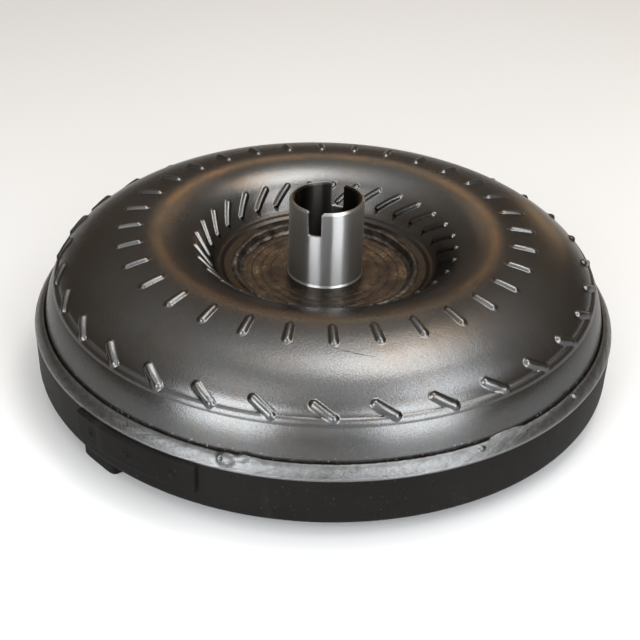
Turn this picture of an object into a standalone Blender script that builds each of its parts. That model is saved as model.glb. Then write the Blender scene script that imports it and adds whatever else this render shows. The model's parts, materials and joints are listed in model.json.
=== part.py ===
"""Torque converter, 298 mm class, standing on its three mounting lugs.

Frame: the origin is on the turning axis, in the plane of the lug faces.
+Z runs from the engine side to the transmission side, along the pump hub.
The two drive slots of the pump hub open along -Y and +Y.
"""
import math

import bmesh
import bpy
from mathutils import Matrix, Vector

MM = 0.001

# Driving dimensions, in millimetres.
SKIRT_RADIUS = 149.0
COVER_BOTTOM_Z = 8.5
COVER_FLOOR_Z = 12.5
COVER_RIM_Z = 32.4
COVER_WALL = 4.6
CORNER_RADIUS = 3.0
PILOT_RADIUS = 21.6
PILOT_END_Z = 0.5
LUG_COUNT = 3
LUG_PITCH_RADIUS = 133.0
LUG_LENGTH = 25.0
LUG_WIDTH = 26.0
LUG_HOLE_RADIUS = 4.25
SHELL_THICKNESS = 3.0
BLADE_COUNT = 32
RIB_HEIGHT = 1.1
RIB_FLANK = 0.16
HUB_RADIUS = 19.05
HUB_BORE_RADIUS = 16.5
HUB_FLANGE_RADIUS = 44.6
HUB_FLANGE_TOP_Z = 50.3
HUB_FLANGE_BOTTOM_Z = 46.3
HUB_TOP_Z = 91.8
SLOT_WIDTH = 7.0
SLOT_DEPTH = 13.3
TURBINE_SHELL_THICKNESS = 1.6
TURBINE_BLADE_COUNT = 27
TURBINE_BORE_RADIUS = 11.6
STATOR_VANE_COUNT = 17
ROLLER_COUNT = 8
ROLLER_RADIUS = 2.4
ROLLER_PITCH_RADIUS = 21.2
SPRING_COUNT = 6
SPRING_PITCH_RADIUS = 125.85
SPRING_RADIUS = 3.7
SPRING_WIRE = 1.5
SPRING_TURNS = 6
RIVET_COUNT = 6
GAP = 0.3

# Polar angles of the first lug, the blade row and the balance weight, in degrees.
LUG_PHASE = 3.0
BLADE_PHASE = -69.0
WEIGHT_START = -119.0
WEIGHT_END = -92.5

# Outer face of the impeller shell from its rim to its bore, as (radius, height).
SHELL_OUTER = [
    (143.4, 28.0), (143.4, 38.2), (139.6, 52.6), (136.0, 56.2),
    (131.4, 61.4), (123.0, 67.4), (106.6, 73.3), (93.2, 75.6),
    (80.0, 74.2), (67.8, 68.4), (57.8, 57.5), (46.2, 53.6),
]

# Lower face of the turbine shell from its rim to its bore.
TURBINE_LOWER = [
    (137.4, 43.6), (134.6, 35.5), (122.5, 29.2),
    (104.0, 25.4), (78.0, 24.4), (50.0, 24.2),
]

COLOURS = {
    "dark_steel": ((0.075, 0.072, 0.070), 0.42, 0.90),
    "skirt_steel": ((0.030, 0.026, 0.024), 0.60, 0.70),
    "weld_steel": ((0.36, 0.34, 0.32), 0.50, 0.90),
    "ground_steel": ((0.55, 0.54, 0.53), 0.28, 1.00),
    "plain_steel": ((0.34, 0.34, 0.35), 0.38, 0.95),
    "spring_steel": ((0.22, 0.24, 0.27), 0.35, 0.95),
    "cast_aluminium": ((0.62, 0.62, 0.61), 0.45, 0.95),
    "friction_paper": ((0.16, 0.12, 0.08), 0.95, 0.00),
    "bronze": ((0.50, 0.34, 0.16), 0.40, 0.95),
}

material_store = {}


def get_material(name):
    """Return the shared Principled material of one finish."""
    if name in material_store:
        return material_store[name]
    colour, roughness, metallic = COLOURS[name]
    material = bpy.data.materials.new(name)
    material.use_nodes = True
    shader = material.node_tree.nodes["Principled BSDF"]
    shader.inputs["Base Color"].default_value = (*colour, 1.0)
    shader.inputs["Roughness"].default_value = roughness
    shader.inputs["Metallic"].default_value = metallic
    material_store[name] = material
    return material


def finish_object(name, mesh_data, material_name, crease_degrees=35.0):
    """Wrap a bmesh in a named object with a material and sharp edges by angle."""
    bmesh.ops.recalc_face_normals(mesh_data, faces=mesh_data.faces)
    mesh = bpy.data.meshes.new(name)
    mesh_data.to_mesh(mesh)
    mesh_data.free()
    mesh.materials.append(get_material(material_name))
    for polygon in mesh.polygons:
        polygon.use_smooth = True
    mesh.set_sharp_from_angle(angle=math.radians(crease_degrees))
    item = bpy.data.objects.new(name, mesh)
    bpy.context.scene.collection.objects.link(item)
    return item


def polar_point(radius, degrees, height):
    """Turn a radius, polar angle and height in millimetres into metres."""
    angle = math.radians(degrees)
    return Vector((radius * math.cos(angle), radius * math.sin(angle), height)) * MM


def stack_of_sections(name, sections, material_name, closed=True, crease_degrees=35.0):
    """Skin a row of (angle, profile) sections into one ring-shaped body.

    Every profile has the same number of (radius, height) or
    (radius, height, angle shift) points.  An open row gets its two end caps.
    """
    mesh_data = bmesh.new()
    rows = []
    for degrees, profile in sections:
        row = []
        for point in profile:
            shift = point[2] if len(point) > 2 else 0.0
            row.append(mesh_data.verts.new(polar_point(point[0], degrees + shift, point[1])))
        rows.append(row)
    count = len(rows[0])
    pairs = len(rows) if closed else len(rows) - 1
    for index in range(pairs):
        here = rows[index]
        there = rows[(index + 1) % len(rows)]
        for step in range(count):
            after = (step + 1) % count
            mesh_data.faces.new((here[step], here[after], there[after], there[step]))
    if not closed:
        mesh_data.faces.new(rows[0])
        mesh_data.faces.new(rows[-1])
    return finish_object(name, mesh_data, material_name, crease_degrees)


def ring(name, profile, segments, material_name, crease_degrees=35.0):
    """Turn a closed profile into a plain ring about the Z axis."""
    sections = [(360.0 * index / segments, profile) for index in range(segments)]
    return stack_of_sections(name, sections, material_name, True, crease_degrees)


def toothed_ring(name, plain, tooth, count, tooth_degrees, flank_degrees, material_name,
                 phase=0.0, fill=0, crease_degrees=35.0):
    """Make a ring whose profile swaps between plain and tooth, count times.

    fill adds that many extra plain sections between two teeth.
    """
    sections = []
    pitch = 360.0 / count
    half = tooth_degrees / 2.0
    for index in range(count):
        centre = phase + pitch * index
        sections.append((centre - half - flank_degrees, plain))
        sections.append((centre - half, tooth))
        sections.append((centre + half, tooth))
        sections.append((centre + half + flank_degrees, plain))
        start = centre + half + flank_degrees
        span = pitch - tooth_degrees - 2.0 * flank_degrees
        for extra in range(fill):
            sections.append((start + span * (extra + 1) / (fill + 1), plain))
    return stack_of_sections(name, sections, material_name, True, crease_degrees)


def turned_solid(name, profile, segments, material_name, crease_degrees=35.0):
    """Turn an open profile that starts and ends on the Z axis into a solid."""
    mesh_data = bmesh.new()
    bottom = mesh_data.verts.new(polar_point(0.0, 0.0, profile[0][1]))
    top = mesh_data.verts.new(polar_point(0.0, 0.0, profile[-1][1]))
    columns = []
    for index in range(segments):
        degrees = 360.0 * index / segments
        column = [mesh_data.verts.new(polar_point(r, degrees, z)) for r, z in profile[1:-1]]
        columns.append(column)
    for index in range(segments):
        here = columns[index]
        there = columns[(index + 1) % segments]
        mesh_data.faces.new((bottom, here[0], there[0]))
        mesh_data.faces.new((top, there[-1], here[-1]))
        for step in range(len(here) - 1):
            mesh_data.faces.new((here[step], here[step + 1], there[step + 1], there[step]))
    return finish_object(name, mesh_data, material_name, crease_degrees)


def offset_path(path, distance):
    """Move an open (radius, height) path sideways, to the left of its direction."""
    moved = []
    for index, point in enumerate(path):
        before = path[max(index - 1, 0)]
        after = path[min(index + 1, len(path) - 1)]
        along = (after[0] - before[0], after[1] - before[1])
        length = math.hypot(along[0], along[1])
        normal = (-along[1] / length, along[0] / length)
        moved.append((point[0] + normal[0] * distance, point[1] + normal[1] * distance))
    return moved


def make_front_cover():
    """The pressed cover: floor with the pilot hole, rounded corner and skirt."""
    outer = SKIRT_RADIUS
    inner = SKIRT_RADIUS - COVER_WALL
    bend = CORNER_RADIUS
    profile = [
        (PILOT_RADIUS + GAP, COVER_FLOOR_Z),
        (PILOT_RADIUS + GAP, COVER_BOTTOM_Z),
        (outer - bend, COVER_BOTTOM_Z),
        (outer - bend * 0.3, COVER_BOTTOM_Z + bend * 0.3),
        (outer, COVER_BOTTOM_Z + bend),
        (outer, COVER_RIM_Z),
        (inner, COVER_RIM_Z),
        (inner, COVER_FLOOR_Z),
    ]
    return ring("front_cover", profile, 64, "skirt_steel")


def make_pilot_boss():
    """The pilot that centres the converter in the crankshaft, with its centre dimple."""
    profile = [
        (0.0, PILOT_END_Z + 4.0),
        (5.0, PILOT_END_Z),
        (PILOT_RADIUS - 1.5, PILOT_END_Z),
        (PILOT_RADIUS, PILOT_END_Z + 1.5),
        (PILOT_RADIUS, COVER_FLOOR_Z - 0.1),
        (0.0, COVER_FLOOR_Z - 0.1),
    ]
    return turned_solid("pilot_boss", profile, 32, "plain_steel")


def make_mounting_lug(number, degrees):
    """One welded mounting pad with its bolt hole, facing the engine."""
    mesh_data = bmesh.new()
    steps = 16
    top_z = COVER_BOTTOM_Z - 0.1
    levels = []
    for height, inset in ((0.0, 0.6), (0.6, 0.0), (top_z, 0.0)):
        loop = []
        for index in range(steps):
            angle = 2.0 * math.pi * (index + 0.5) / steps
            across = math.copysign(abs(math.cos(angle)) ** 0.45, math.cos(angle))
            along = math.copysign(abs(math.sin(angle)) ** 0.45, math.sin(angle))
            x = across * (LUG_WIDTH / 2.0 - inset)
            y = along * (LUG_LENGTH / 2.0 - inset)
            loop.append(mesh_data.verts.new(Vector((x, y, height)) * MM))
        levels.append(loop)
    for height in (top_z, 0.0):
        loop = []
        for index in range(steps):
            angle = 360.0 * (index + 0.5) / steps
            loop.append(mesh_data.verts.new(polar_point(LUG_HOLE_RADIUS, angle, height)))
        levels.append(loop)
    for number_of_level, here in enumerate(levels):
        there = levels[(number_of_level + 1) % len(levels)]
        for index in range(steps):
            after = (index + 1) % steps
            mesh_data.faces.new((here[index], here[after], there[after], there[index]))
    turn = Matrix.Rotation(math.radians(degrees), 4, "Z")
    move = Matrix.Translation(Vector((LUG_PITCH_RADIUS, 0.0, 0.0)) * MM)
    bmesh.ops.transform(mesh_data, matrix=turn @ move, verts=mesh_data.verts)
    return finish_object(f"mounting_lug_{number}", mesh_data, "skirt_steel")


def make_closure_weld():
    """The weld bead that joins the cover's rim to the impeller shell."""
    profile = [
        (143.8, 32.7), (149.0, 32.7), (149.0, 33.6),
        (147.2, 36.8), (144.6, 38.4), (143.8, 38.0),
    ]
    return ring("closure_weld", profile, 64, "weld_steel", 60.0)


def make_impeller_shell():
    """The pump shell with its three rows of embossed blade-tab ribs."""
    inner = offset_path(SHELL_OUTER, SHELL_THICKNESS)
    inner[0] = (SHELL_OUTER[0][0] - SHELL_THICKNESS, SHELL_OUTER[0][1])
    inner[-1] = (SHELL_OUTER[-1][0], SHELL_OUTER[-1][1] - SHELL_THICKNESS)
    kept_inner = [inner[index] for index in (11, 10, 9, 8, 7, 6, 4, 3, 2, 0)]
    slant = {3: -0.4, 4: -4.4, 6: -0.3, 7: -0.5, 9: -3.2, 10: 1.6}
    raised = offset_path(SHELL_OUTER, -RIB_HEIGHT)
    plain = []
    rib = []
    for index, point in enumerate(SHELL_OUTER):
        shift = slant.get(index, 0.0)
        plain.append((point[0], point[1], shift))
        source = raised[index] if index in slant else point
        rib.append((source[0], source[1], shift))
    plain = plain + kept_inner
    rib = rib + kept_inner
    sections = []
    pitch = 360.0 / BLADE_COUNT
    for index in range(BLADE_COUNT):
        centre = BLADE_PHASE + pitch * index
        sections.append((centre - pitch * RIB_FLANK, plain))
        sections.append((centre, rib))
        sections.append((centre + pitch * RIB_FLANK, plain))
    return stack_of_sections("impeller_shell", sections, "dark_steel", True, 50.0)


def make_impeller_core():
    """The pump's core ring with its blades, reaching out to the shell."""
    under_shell = offset_path(SHELL_OUTER, SHELL_THICKNESS + GAP)
    core_outer = [
        (124.0, 44.8), (120.0, 50.2), (112.0, 53.6),
        (98.0, 53.6), (90.0, 50.0), (86.0, 44.8),
    ]
    core_inner = [(89.0, 44.8), (105.0, 51.4), (121.0, 44.8)]
    blade_outer = [
        (136.6, 45.4), under_shell[3], under_shell[4],
        under_shell[6], under_shell[8], under_shell[9],
    ]
    shifts = [3.0, 1.6, 0.6, 0.0, 0.8, 2.4]
    blade = [(point[0], point[1], shift) for point, shift in zip(blade_outer, shifts)]
    plain = core_outer + core_inner
    tooth = blade + core_inner
    return toothed_ring("impeller_core", plain, tooth, BLADE_COUNT, 0.7, 0.25,
                        "plain_steel", BLADE_PHASE)


def make_pump_hub():
    """The pump drive hub: flange, ground neck and two drive slots."""
    profile = [
        (HUB_BORE_RADIUS, HUB_FLANGE_BOTTOM_Z),
        (HUB_FLANGE_RADIUS, HUB_FLANGE_BOTTOM_Z),
        (HUB_FLANGE_RADIUS, HUB_FLANGE_TOP_Z - 0.5),
        (HUB_FLANGE_RADIUS - 0.5, HUB_FLANGE_TOP_Z),
        (HUB_RADIUS + 2.0, HUB_FLANGE_TOP_Z),
        (HUB_RADIUS + 0.6, HUB_FLANGE_TOP_Z + 0.6),
        (HUB_RADIUS, HUB_FLANGE_TOP_Z + 2.0),
        (HUB_RADIUS, HUB_TOP_Z - 1.0),
        (HUB_RADIUS - 0.7, HUB_TOP_Z),
        (HUB_BORE_RADIUS + 0.5, HUB_TOP_Z),
        (HUB_BORE_RADIUS, HUB_TOP_Z - 0.6),
    ]
    hub = ring("pump_hub", profile, 48, "ground_steel")
    mesh_data = bmesh.new()
    bmesh.ops.create_cube(mesh_data, size=1.0)
    depth = SLOT_DEPTH + 10.0
    size = Vector((SLOT_WIDTH, 60.0, depth)) * MM
    bmesh.ops.scale(mesh_data, vec=size, verts=mesh_data.verts)
    cutter = finish_object("slot_cutter", mesh_data, "ground_steel")
    cutter.location = Vector((0.0, 0.0, HUB_TOP_Z - SLOT_DEPTH + depth / 2.0)) * MM
    cutter.hide_render = True
    cutter.display_type = "WIRE"
    cut = hub.modifiers.new("slots", "BOOLEAN")
    cut.operation = "DIFFERENCE"
    cut.solver = "EXACT"
    cut.object = cutter
    return hub


def make_hub_weld():
    """The fillet weld round the hub flange, inside the shell's bore."""
    profile = [
        (42.0, 50.6), (45.9, 50.6), (45.9, 53.9),
        (48.2, 54.7), (45.6, 55.9), (42.0, 51.6),
    ]
    return ring("hub_weld", profile, 48, "weld_steel", 60.0)


def make_balance_weight():
    """The curved balance strip welded on the skirt."""
    profile = [
        (SKIRT_RADIUS + GAP / 3.0, 17.8), (SKIRT_RADIUS + 2.2, 17.8),
        (SKIRT_RADIUS + 2.7, 18.3), (SKIRT_RADIUS + 2.7, 31.3),
        (SKIRT_RADIUS + 2.2, 31.8), (SKIRT_RADIUS + GAP / 3.0, 31.8),
    ]
    steps = 10
    span = WEIGHT_END - WEIGHT_START
    sections = [(WEIGHT_START + span * index / steps, profile) for index in range(steps + 1)]
    return stack_of_sections("balance_weight", sections, "skirt_steel", False)


def make_turbine_shell():
    """The driven turbine's pressed shell."""
    upper = offset_path(TURBINE_LOWER, -TURBINE_SHELL_THICKNESS)
    return ring("turbine_shell", TURBINE_LOWER + upper[::-1], 48, "plain_steel")


def make_turbine_core():
    """The turbine's core ring with its blades, reaching down to the shell."""
    above_shell = offset_path(TURBINE_LOWER, -(TURBINE_SHELL_THICKNESS + 2.0 * GAP))
    core_outer = [
        (124.0, 43.0), (119.0, 38.6), (111.0, 36.7),
        (99.0, 36.8), (91.0, 38.8), (86.0, 43.0),
    ]
    core_inner = [(89.0, 43.0), (105.0, 39.4), (121.0, 43.0)]
    blade_outer = [
        (134.0, 43.0), above_shell[1], above_shell[2],
        above_shell[3], (82.0, 27.0), (81.4, 38.0),
    ]
    shifts = [-3.0, -2.0, -0.8, 0.0, -2.6, -3.6]
    blade = [(point[0], point[1], shift) for point, shift in zip(blade_outer, shifts)]
    return toothed_ring("turbine_core", core_outer + core_inner, blade + core_inner,
                        TURBINE_BLADE_COUNT, 0.7, 0.25, "plain_steel")


def make_turbine_hub():
    """The turbine hub: splined bore, seal groove and riveting flange."""
    root = TURBINE_BORE_RADIUS + 1.0
    tip = TURBINE_BORE_RADIUS
    outside = [
        (24.2, 14.6), (24.2, 17.8), (22.4, 17.8), (22.4, 20.2), (24.2, 20.2),
        (24.2, 21.8), (58.0, 21.8), (58.0, 23.9), (31.0, 23.9), (31.0, 26.4),
    ]
    plain = [(root, 26.4), (root, 14.6)] + outside
    tooth = [(tip, 26.4), (tip, 14.6)] + outside
    return toothed_ring("turbine_hub", plain, tooth, 14, 9.0, 3.0, "plain_steel")


def make_rivet(number, degrees):
    """One rivet head on the turbine shell's inner rim."""
    profile = [(0.0, 26.2), (3.2, 26.2), (2.6, 27.4), (0.0, 28.0)]
    rivet = turned_solid(f"turbine_rivet_{number}", profile, 8, "plain_steel")
    rivet.location = polar_point(54.0, degrees, 0.0)
    return rivet


def make_driven_ring():
    """The damper's driven ring on the turbine, with a tang between every two springs."""
    top_side = [(131.0, 27.9), (117.4, 27.4), (117.4, 26.4)]
    plain = [(121.9, 26.4), (122.4, 26.4), (129.4, 26.4), (129.9, 26.4)] + top_side
    tooth = [(121.9, 26.4), (122.4, 18.9), (129.4, 18.9), (129.9, 26.4)] + top_side
    return toothed_ring("damper_driven_ring", plain, tooth, SPRING_COUNT, 2.4, 0.3,
                        "plain_steel", 30.0, 3)


def make_spring_retainer():
    """The channel that carries the damper springs, slotted for the piston's tabs."""
    channel = [
        (118.8, 23.5), (118.8, 17.3), (138.6, 17.3), (138.6, 18.1), (132.4, 18.1),
        (132.4, 25.6), (131.2, 25.6), (131.2, 18.1), (120.2, 18.1), (120.2, 23.5),
    ]
    slotted = list(channel)
    slotted[2] = (133.0, 17.3)
    slotted[3] = (133.0, 18.1)
    return toothed_ring("damper_spring_retainer", channel, slotted, SPRING_COUNT, 10.0, 0.4,
                        "plain_steel", 0.0, 4)


def make_damper_spring(number, degrees):
    """One arc spring: a square wire coiled along the damper's pitch circle."""
    half_span = 27.9
    steps_per_turn = 6
    steps = SPRING_TURNS * steps_per_turn
    centre_z = 22.1
    coil = SPRING_RADIUS - SPRING_WIRE / 2.0
    mesh_data = bmesh.new()
    rows = []
    for index in range(steps + 1):
        fraction = index / steps
        turn = 2.0 * math.pi * SPRING_TURNS * fraction
        base = degrees - half_span + 2.0 * half_span * fraction
        row = []
        for radial, axial in ((-0.5, -0.5), (0.5, -0.5), (0.5, 0.5), (-0.5, 0.5)):
            reach = coil + radial * SPRING_WIRE
            radius = SPRING_PITCH_RADIUS + reach * math.cos(turn)
            height = centre_z + reach * math.sin(turn)
            shift = math.degrees(axial * SPRING_WIRE / SPRING_PITCH_RADIUS)
            row.append(mesh_data.verts.new(polar_point(radius, base + shift, height)))
        rows.append(row)
    for here, there in zip(rows[:-1], rows[1:]):
        for step in range(4):
            after = (step + 1) % 4
            mesh_data.faces.new((here[step], here[after], there[after], there[step]))
    mesh_data.faces.new(rows[0])
    mesh_data.faces.new(rows[-1])
    return finish_object(f"damper_spring_{number}", mesh_data, "spring_steel", 50.0)


def make_lockup_piston():
    """The lock-up piston: dished plate, sliding bore and six drive tabs."""
    plain = [
        (24.5, 14.9), (142.4, 14.9), (142.4, 17.0), (137.9, 17.0), (137.6, 17.0),
        (134.2, 17.0), (133.9, 17.0), (27.5, 17.0), (27.0, 20.6), (24.5, 20.6),
    ]
    tooth = list(plain)
    tooth[4] = (137.6, 21.5)
    tooth[5] = (134.2, 21.5)
    return toothed_ring("lockup_piston", plain, tooth, SPRING_COUNT, 7.0, 0.3,
                        "plain_steel", 0.0, 4)


def make_friction_lining():
    """The friction ring on the piston's cover side."""
    profile = [(112.0, 13.5), (141.0, 13.5), (141.0, 14.8), (112.0, 14.8)]
    return ring("friction_lining", profile, 48, "friction_paper")


def make_piston_seal():
    """The seal ring in the turbine hub's groove."""
    profile = [(22.6, 18.1), (24.35, 18.1), (24.35, 19.9), (22.6, 19.9)]
    return ring("piston_seal", profile, 36, "friction_paper")


def make_cover_washer():
    """The thrust washer between the cover and the turbine hub."""
    profile = [(13.0, 12.7), (23.0, 12.7), (23.0, 14.3), (13.0, 14.3)]
    return ring("cover_thrust_washer", profile, 32, "bronze")


def make_stator_wheel():
    """The stator: hub ring with slanted guide vanes."""
    inside = [(47.0, 30.4), (30.4, 30.4), (30.4, 43.0), (47.0, 43.0)]
    hub_side = [(48.5, 41.5), (48.5, 32.0)]
    vane_side = [(76.7, 45.0, -4.0), (76.7, 31.5, 4.0)]
    return toothed_ring("stator_wheel", hub_side + inside, vane_side + inside,
                        STATOR_VANE_COUNT, 2.0, 1.2, "cast_aluminium")


def make_stator_shroud():
    """The outer band round the stator vanes."""
    profile = [(77.1, 31.5), (78.6, 31.5), (78.6, 45.0), (77.1, 45.0)]
    return ring("stator_shroud", profile, 40, "cast_aluminium")


def make_cam_race():
    """The one-way clutch's outer race, with a ramped pocket for every roller."""
    land = [(19.6, 42.6), (29.6, 42.6), (29.6, 30.8), (19.6, 30.8)]
    pocket = [(24.2, 42.6), (29.6, 42.6), (29.6, 30.8), (24.2, 30.8)]
    return toothed_ring("clutch_cam_race", land, pocket, ROLLER_COUNT, 22.0, 2.0,
                        "plain_steel", 0.0, 1)


def make_inner_race():
    """The one-way clutch's inner race with its splined bore."""
    plain = [(14.0, 42.6), (18.5, 42.6), (18.5, 30.8), (14.0, 30.8)]
    tooth = [(13.0, 42.6), (18.5, 42.6), (18.5, 30.8), (13.0, 30.8)]
    return toothed_ring("clutch_inner_race", plain, tooth, 14, 9.0, 3.0, "ground_steel")


def make_roller(number, degrees):
    """One clutch roller."""
    profile = [
        (0.0, 31.4), (ROLLER_RADIUS, 31.4), (ROLLER_RADIUS, 42.0), (0.0, 42.0),
    ]
    roller = turned_solid(f"clutch_roller_{number}", profile, 12, "ground_steel")
    roller.location = polar_point(ROLLER_PITCH_RADIUS, degrees, 0.0)
    return roller


def make_thrust_bearing(name, inner, outer, bottom, top, count):
    """A needle thrust bearing: flat cage with raised radial needles."""
    low = bottom + 0.5
    high = top - 0.5
    cage = [(inner, low), (outer, low), (outer, high), (inner, high)]
    needle = [(inner, bottom), (outer, bottom), (outer, top), (inner, top)]
    return toothed_ring(name, cage, needle, count, 5.0, 1.5, "ground_steel")


def build():
    """Clear the scene and make every sub-part."""
    for item in list(bpy.data.objects):
        bpy.data.objects.remove(item, do_unlink=True)
    make_front_cover()
    make_pilot_boss()
    for index in range(LUG_COUNT):
        make_mounting_lug(index + 1, LUG_PHASE + 360.0 * index / LUG_COUNT)
    make_closure_weld()
    make_impeller_shell()
    make_impeller_core()
    make_pump_hub()
    make_hub_weld()
    make_balance_weight()
    make_cover_washer()
    make_turbine_shell()
    make_turbine_core()
    make_turbine_hub()
    for index in range(RIVET_COUNT):
        make_rivet(index + 1, 360.0 * index / RIVET_COUNT)
    make_driven_ring()
    make_piston_seal()
    make_spring_retainer()
    for index in range(SPRING_COUNT):
        make_damper_spring(index + 1, 360.0 * index / SPRING_COUNT)
    make_lockup_piston()
    make_friction_lining()
    make_stator_wheel()
    make_stator_shroud()
    make_cam_race()
    make_inner_race()
    for index in range(ROLLER_COUNT):
        make_roller(index + 1, 360.0 * index / ROLLER_COUNT)
    make_thrust_bearing("pump_thrust_bearing", 31.0, 42.0, 43.4, 45.9, 16)
    make_thrust_bearing("turbine_thrust_bearing", 19.0, 29.0, 26.8, 29.2, 16)


build()
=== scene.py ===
"""Looks of the torque converter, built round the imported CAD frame.

Lengths are in metres.  The turning axis is Z, and heights come from the CAD nodes' boxes.
"""

import json
import math

import bmesh
import bpy
import numpy as np
from mathutils import Matrix, Vector


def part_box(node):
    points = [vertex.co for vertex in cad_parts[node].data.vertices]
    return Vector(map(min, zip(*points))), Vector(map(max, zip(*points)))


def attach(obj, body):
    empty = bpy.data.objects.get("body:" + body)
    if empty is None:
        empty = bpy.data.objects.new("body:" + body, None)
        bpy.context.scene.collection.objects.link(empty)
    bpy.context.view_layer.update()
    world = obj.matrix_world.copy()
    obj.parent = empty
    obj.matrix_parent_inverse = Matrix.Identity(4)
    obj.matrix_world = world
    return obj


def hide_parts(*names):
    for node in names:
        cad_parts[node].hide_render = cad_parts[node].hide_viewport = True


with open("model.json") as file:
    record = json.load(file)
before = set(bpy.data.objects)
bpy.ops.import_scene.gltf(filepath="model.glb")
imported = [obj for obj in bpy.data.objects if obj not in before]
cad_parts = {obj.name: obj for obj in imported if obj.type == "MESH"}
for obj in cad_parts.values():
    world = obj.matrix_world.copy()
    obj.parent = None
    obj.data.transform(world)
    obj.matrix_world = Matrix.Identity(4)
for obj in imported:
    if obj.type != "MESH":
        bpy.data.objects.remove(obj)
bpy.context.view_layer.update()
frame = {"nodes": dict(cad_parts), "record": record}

MM = 0.001

# ---------------------------------------------------------------- driving sizes
SKIRT_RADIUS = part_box("front_cover")[1][0]
COVER_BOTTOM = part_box("front_cover")[0][2]
COVER_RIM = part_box("front_cover")[1][2]
HUB_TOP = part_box("pump_hub")[1][2]
HUB_FLANGE_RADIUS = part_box("pump_hub")[1][0]
HUB_FLANGE_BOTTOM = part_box("pump_hub")[0][2]
SHELL_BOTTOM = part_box("impeller_shell")[0][2]
PILOT_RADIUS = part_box("pilot_boss")[1][0]
PILOT_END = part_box("pilot_boss")[0][2]

HUB_RADIUS = 19.05 * MM
HUB_BORE = 16.5 * MM
HUB_FLANGE_TOP = HUB_FLANGE_BOTTOM + 4.0 * MM
SLOT_WIDTH = 7.0 * MM
SLOT_DEPTH = 13.3 * MM
LUG_PITCH_RADIUS = 133.0 * MM
LUG_PHASE = math.radians(3.0)
LUG_RADIAL = 26.0 * MM
LUG_ACROSS = 25.0 * MM
LUG_SQUARENESS = 0.25
BLADES = 32
BLADE_PHASE = math.radians(-69.0)
WEIGHT_START = math.radians(-119.0)
WEIGHT_END = math.radians(-92.5)

SCRATCH_CENTRE = (45.7 * MM, -99.6 * MM)
SCRATCH_ANGLE = math.radians(5.1)
SCRATCH_HALF_LENGTH = 10.2 * MM
SCRATCH_SAG = 0.9 * MM

# The photograph's view: the hub's slots lie 18 degrees off the line of sight.
CAMERA_TURN = 18.0
CAMERA_RISE = 32.95
CAMERA_DISTANCE = 633.0 * MM
CAMERA_LENS = 66.15
CAMERA_AIM_HEIGHT = 10.0 * MM
CAMERA_YAW = 0.16
CAMERA_PITCH = 0.69
CAMERA_ROLL = 1.9

# Soft boxes: name, azimuth from the camera, elevation, distance, width, height, radiance, colour.
COOL = (0.93, 0.97, 1.0)
NEUTRAL = (1.0, 0.98, 0.95)
WARM = (1.0, 0.66, 0.36)
LAMP_AIM_HEIGHT = 0.05
SOFTBOXES = (
    ("front_left", -32.0, 21.0, 0.90, 0.48, 0.68, 10.5, COOL),
    ("front_right", 35.0, 21.0, 0.90, 0.48, 0.68, 9.5, COOL),
    ("front_fill", 1.0, 20.0, 1.5, 0.50, 0.90, 1.6, COOL),
    ("high_left", -42.0, 58.0, 1.5, 0.70, 0.40, 2.4, NEUTRAL),
    ("high_right", 62.0, 52.0, 1.5, 0.60, 0.55, 7.5, COOL),
    ("overhead", 122.0, 72.0, 1.5, 0.75, 0.60, 7.5, NEUTRAL),
    ("top", 172.0, 82.0, 1.5, 0.70, 0.45, 3.0, NEUTRAL),
    ("warm_back", 180.0, 34.0, 1.5, 0.50, 0.10, 4.2, WARM),
    ("warm_low", 152.0, 7.0, 1.5, 0.30, 0.16, 2.5, WARM),
    ("warm_high", 148.0, 60.0, 1.5, 0.26, 0.20, 6.0, WARM),
)

# Light of the plain surroundings by height, from the horizon up.
SKY = (
    (0.0, (0.104, 0.080, 0.060)), (0.17, (0.132, 0.104, 0.080)), (0.5, (0.200, 0.168, 0.136)),
    (0.77, (0.370, 0.345, 0.315)), (0.87, (0.700, 0.690, 0.675)), (1.0, (1.000, 1.000, 0.990)),
)
SKY_STRENGTH = 1.9
BACKGROUND = (0.72, 0.715, 0.705)
FLOOR_RADIUS = 25.0


# ---------------------------------------------------------------- mesh helpers
def new_object(name, mesh_data, material, crease=40.0):
    """Wrap a bmesh in an object, smooth shaded with sharp edges by angle."""
    bmesh.ops.recalc_face_normals(mesh_data, faces=mesh_data.faces)
    mesh = bpy.data.meshes.new(name)
    mesh_data.to_mesh(mesh)
    mesh_data.free()
    mesh.materials.append(material)
    mesh.shade_smooth()
    mesh.set_sharp_from_angle(angle=math.radians(crease))
    item = bpy.data.objects.new(name, mesh)
    bpy.context.scene.collection.objects.link(item)
    return item


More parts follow.
